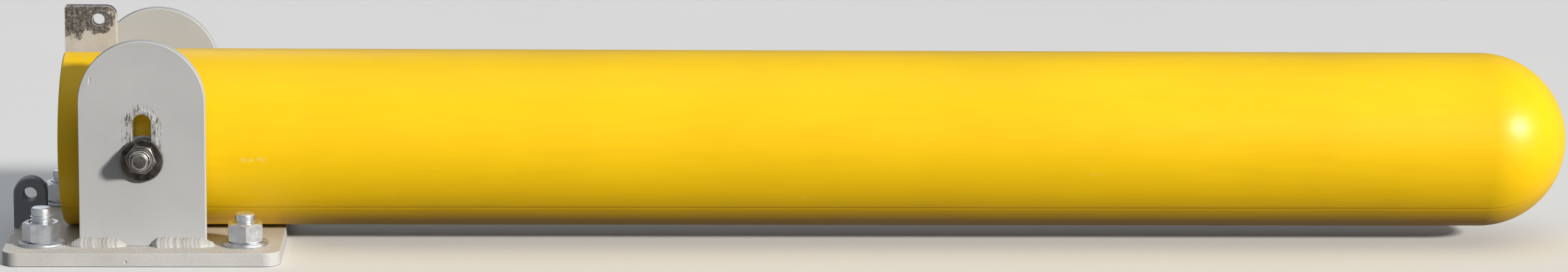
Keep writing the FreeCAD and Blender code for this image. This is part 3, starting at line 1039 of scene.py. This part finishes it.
def tab_skin():
    """Grey paint that has burnt away in a ragged patch of dark scale and bare steel."""
    material, tree = new_material("tab_paint")
    place = object_place(tree)
    axes = put(tree, "ShaderNodeSeparateXYZ", {"Vector": place}).outputs
    tone = noise(tree, place, 60.0, 5.0)
    fine = noise(tree, place, 900.0, 4.0)
    ragged = noise(tree, place, 190.0, 7.0, 0.68)
    colour = blend(tree, spread(tree, tone, 0.3, 0.7), (0.42, 0.39, 0.345), (0.53, 0.50, 0.455))
    from_hole_x = sums(tree, "SUBTRACT", axes["X"], tab_hole_x)
    from_hole_z = sums(tree, "SUBTRACT", axes["Z"], tab_hole_z)
    round_hole = spread(tree, slant(tree, from_hole_x, from_hole_z), 0.0150, 0.0050)
    towards_end = spread(tree, axes["X"], -0.040, -0.050)
    lost_corner = sums(tree, "MULTIPLY", towards_end, spread(tree, axes["Z"], 0.142, 0.153))
    top_edge = spread(tree, axes["Z"], 0.160, 0.168)
    patch = sums(tree, "MAXIMUM", sums(tree, "MAXIMUM", round_hole, lost_corner), top_edge)
    patch = sums(tree, "ADD", patch, sums(tree, "MULTIPLY", sums(tree, "SUBTRACT", ragged, 0.5), 1.8))
    burnt = spread(tree, patch, 0.42, 0.55)
    scale_tone = spread(tree, noise(tree, place, 520.0, 6.0, 0.75), 0.45, 0.66)
    scale_colour = blend(tree, scale_tone, (0.045, 0.040, 0.035), (0.36, 0.33, 0.30))
    colour = blend(tree, burnt, colour, scale_colour)
    worn = use(tree, edge_wear, Width=0.0010, Break=300.0, Reach=0.60)["Mask"]
    colour = blend(tree, worn, colour, (0.80, 0.78, 0.74))
    flaked = bump(tree, sums(tree, "MULTIPLY", burnt, ragged), 0.0012, 0.7)
    skin(tree, {
        "Base Color": colour,
        "Roughness": spread(tree, ragged, 0.3, 0.7, 0.40, 0.72),
        "Metallic": sums(tree, "MULTIPLY", burnt, sums(tree, "MULTIPLY", scale_tone, 0.6)),
        "Normal": bump(tree, fine, 0.00018, 0.6, flaked),
    })
    return material


tab = block("tab", tab_low, tab_high)
round_corners(tab, lambda e: along(e, 1) and mid(e).z > 0.15 and mid(e).x > -0.04, tab_free_corner, 4)
round_corners(tab, lambda e: along(e, 1) and mid(e).z > 0.15 and mid(e).x < -0.055, tab_foot_corner, 4)
drill(tab, tab_hole_radius, (tab_hole_x, -0.02, tab_hole_z), (tab_hole_x, 0.02, tab_hole_z), 40)
drill(tab, pipe_radius, (-0.1, 0, pivot_height), (0.1, 0, pivot_height), 144)
dress(tab, tab_edge)
tab.data.materials.append(tab_skin())
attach(tab, "post")
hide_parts("lock_tab")

weld_low, weld_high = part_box("lock_tab_weld")
tab_beads = []
for side in (-1, 1):
    start = (weld_low.x + 0.002, side * 0.004, tab_weld_height)
    end = (weld_high.x - 0.002, side * 0.004, tab_weld_height)
    tab_beads.append(bead("tab_bead", start, end, tab_weld_leg, (0, 0, 1), (0, side, 0), weld_draw))
tab_weld = join_all(tab_beads, "tab_beads")
tab_weld.data.materials.append(weld_paint)
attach(tab_weld, "post")
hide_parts("lock_tab_weld")


# ---------------------------------------------------------------------------------------------
# Pivot washers
# Four plain steel washers hang on the bolt, one each side of each ear. The outer ones are
# black with wear and oil, rubbed bright on the rim; the inner ones keep a dull zinc.
washer_rim = 0.0152
washer_bore = 0.0084


def worn_steel(name, dark, light, rim):
    """Worn black steel: brown bloom, fine pits, and rubbed edges."""
    material, tree = new_material(name)
    place = object_place(tree)
    tone = noise(tree, place, 150.0, 6.0, 0.6)
    fine = noise(tree, place, 1300.0, 4.0)
    colour = blend(tree, spread(tree, tone, 0.35, 0.65), dark, light)
    worn = use(tree, edge_wear, Width=0.0009, Break=420.0, Reach=0.66)["Mask"]
    colour = blend(tree, worn, colour, rim)
    skin(tree, {
        "Base Color": colour,
        "Roughness": spread(tree, tone, 0.3, 0.7, 0.32, 0.55),
        "Metallic": spread(tree, fine, 0.3, 0.7, 0.85, 1.0),
        "Normal": bump(tree, fine, 0.00010, 0.6, bump(tree, tone, 0.0006, 0.3)),
    })
    return material


dark_steel = worn_steel(
    "dark_steel", dark=(0.035, 0.031, 0.028), light=(0.125, 0.112, 0.098), rim=(0.60, 0.56, 0.49))
nut_steel = worn_steel(
    "nut_steel", dark=(0.055, 0.050, 0.046), light=(0.22, 0.205, 0.185), rim=(0.80, 0.76, 0.70))
for node, material, slot in (
    ("near_outer_washer", dark_steel, "dark_steel"), ("far_outer_washer", dark_steel, "dark_steel"),
    ("near_inner_washer", zinc_dull, "zinc_dull"), ("far_inner_washer", zinc_dull, "zinc_dull"),
):
    low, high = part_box(node)
    thick = high.y - low.y
    hung = (low.z + high.z) / 2
    ring = lathe(node.replace("_washer", "_ring"), [
        (washer_bore, 0.0003), (washer_bore + 0.0003, 0),
        (washer_rim - 0.0005, 0), (washer_rim, 0.0005), (washer_rim, thick - 0.0007),
        (washer_rim - 0.0002, thick - 0.0003), (washer_rim - 0.0007, thick),
        (washer_bore + 0.0003, thick), (washer_bore, thick - 0.0003), (washer_bore, 0.0003),
    ], 72)
    if "near" in node:
        stand_on(ring, (0, high.y, hung), (0, -1, 0))
    else:
        stand_on(ring, (0, low.y, hung), (0, 1, 0))
    smooth(ring, 50)
    ring.data.materials.append(material)
    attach(ring, "post")
    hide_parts(node)


# ---------------------------------------------------------------------------------------------
# Pivot bolt and lock nut
# A hexagon head bolt runs through both ears and the post. A lock nut holds it on the near side:
# a hexagon, and a round collar rolled over a nylon ring, with the bolt's end standing proud.
bolt_radius = 0.006
bolt_pitch = 0.00175
bolt_flats = 0.019
head_height = 0.0075
head_turn, nut_turn = math.radians(12), math.radians(20)
bolt_edge = 0.00025
bolt_thread_run = 0.030
nut_hex_height, collar_height, collar_radius = 0.009, 0.0045, 0.0078
collar_foot = 0.004
pocket_radius, pocket_depth = 0.0070, 0.0033
ring_radius = 0.0069
near_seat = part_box("near_outer_washer")[0].y
far_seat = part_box("far_outer_washer")[1].y
bolt_end_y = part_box("pivot_bolt")[0].y

bolt = hexagon("bolt", bolt_flats, head_height, False, True)
face = round_bar("face", bolt_flats / 2 * 0.96, (0, 0, 0), (0, 0, 0.002), 72)
carve(bolt, face, "UNION")
dress(bolt, bolt_edge, 2, 25)
stand_on(bolt, (0, far_seat, pivot_height), (0, 1, 0), head_turn)
shank_end = bolt_end_y + bolt_thread_run
shank_start = (0, far_seat + 0.003, pivot_height)
shank = round_bar("shank", bolt_radius, shank_start, (0, shank_end - 0.001, pivot_height), 48)
carve(bolt, shank, "UNION")
turns = thread("turns", bolt_radius, bolt_pitch, bolt_thread_run - 0.0006)
point = lathe("point", [
    (0, -0.001), (0.03, -0.001), (0.03, bolt_thread_run - 0.004),
    (bolt_radius + 0.0006, bolt_thread_run - 0.0018),
    (bolt_radius - 0.0012, bolt_thread_run), (0, bolt_thread_run),
])
tip_start, tip_end = (0, 0, bolt_thread_run - 0.002), (0, 0, bolt_thread_run)
tip = round_bar("tip", bolt_radius - 0.0011, tip_start, tip_end, 48)
carve(turns, tip, "UNION")
carve(turns, point, "INTERSECT")
stand_on(turns, (0, shank_end, pivot_height), (0, -1, 0))
carve(bolt, turns, "UNION")
smooth(bolt, 35)
bolt.data.materials.append(nut_steel)
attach(bolt, "post")
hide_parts("pivot_bolt")

lock_nut = hexagon("lock_nut", bolt_flats, nut_hex_height, True, True)
nut_top = nut_hex_height + collar_height
collar = lathe("collar", [
    (0, collar_foot), (collar_radius, collar_foot), (collar_radius, nut_top - 0.0012),
    (collar_radius - 0.0004, nut_top - 0.0004), (collar_radius - 0.0012, nut_top), (0, nut_top),
], 72)
carve(lock_nut, collar, "UNION")
drill(lock_nut, bolt_radius + thread_fit, (0, 0, -0.01), (0, 0, 0.03))
drill(lock_nut, pocket_radius, (0, 0, nut_top - pocket_depth), (0, 0, 0.03))
dress(lock_nut, bolt_edge, 2, 25)
stand_on(lock_nut, (0, near_seat, pivot_height), (0, -1, 0), nut_turn)
lock_nut.data.materials.append(nut_steel)
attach(lock_nut, "post")
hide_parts("pivot_nut")


def nylon_skin():
    """Grey nylon, scored by the thread."""
    material, tree = new_material("nylon")
    place = object_place(tree)
    tone = noise(tree, place, 500.0, 5.0)
    skin(tree, {
        "Base Color": blend(tree, tone, (0.34, 0.35, 0.34), (0.54, 0.55, 0.53)),
        "Roughness": spread(tree, tone, 0.3, 0.7, 0.45, 0.60),
        "Normal": bump(tree, tone, 0.0002, 0.4),
    })
    return material


insert_low, insert_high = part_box("pivot_nut_insert")
insert_height = insert_high.y - insert_low.y
ring_bore = bolt_radius + thread_fit
insert = lathe("nylon_ring", [
    (ring_bore, 0), (ring_radius, 0), (ring_radius, insert_height - 0.0005), (0.0064, insert_height),
    (bolt_radius + 0.0004, insert_height), (ring_bore, insert_height - 0.0004), (ring_bore, 0),
])
stand_on(insert, (0, insert_high.y, pivot_height), (0, -1, 0))
smooth(insert, 40)
insert.data.materials.append(nylon_skin())
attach(insert, "post")
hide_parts("pivot_nut_insert")


# ---------------------------------------------------------------------------------------------
# Swing guide
# A small plastic disc between the post and the far ear, on the point that the post swings round.
# The real post has none: it carries the first of the two joints that stand in for the slots.
def guide_skin():
    material, tree = new_material("guide_plastic")
    place = object_place(tree)
    tone = noise(tree, place, 300.0, 4.0)
    skin(tree, {
        "Base Color": blend(tree, tone, (0.20, 0.20, 0.22), (0.30, 0.30, 0.32)),
        "Roughness": spread(tree, tone, 0.3, 0.7, 0.5, 0.65),
        "Normal": bump(tree, tone, 0.0002, 0.3),
    })
    return material


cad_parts["swing_guide"].material_slots[0].material = guide_skin()
